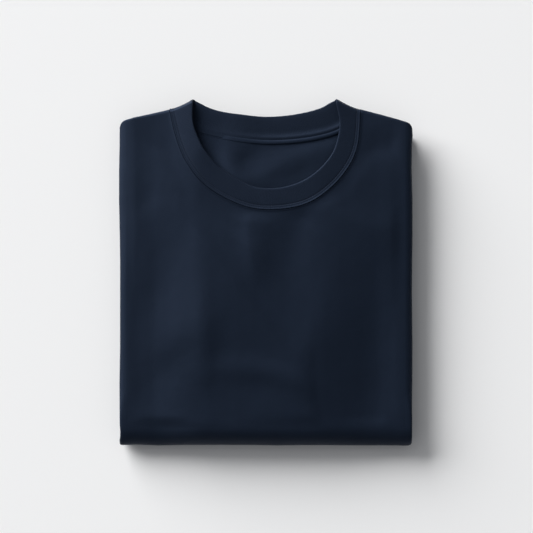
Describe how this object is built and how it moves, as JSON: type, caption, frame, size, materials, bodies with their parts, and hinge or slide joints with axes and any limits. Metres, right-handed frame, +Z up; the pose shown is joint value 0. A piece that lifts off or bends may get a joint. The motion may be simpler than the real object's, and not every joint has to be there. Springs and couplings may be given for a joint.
{
  "type": "folded crew neck t-shirt",
  "caption": "Short-sleeved crew neck t-shirt folded into a flat rectangle, front and ribbed collar uppermost, with the sides turned behind and the lower half folded under.",
  "frame": {"origin": "centre of the folded shirt's bounding rectangle, on the surface it lies on", "axes": "+Z up out of the front of the shirt, +Y towards the collar, +X towards the viewer's right when the collar points away"},
  "size_m": [0.3, 0.3563, 0.0322],
  "materials": {
    "jersey": "matte navy single jersey, combed cotton",
    "rib": "matte navy 1x1 cotton rib",
    "tape": "matte navy self-fabric tape"
  },
  "bodies": {
    "root": {"front_panel": "jersey", "back_panel": "jersey", "neckband": "rib", "neck_tape": "tape", "left_sleeve": "jersey", "right_sleeve": "jersey", "folded_core": "jersey"}
  },
  "joints": []
}
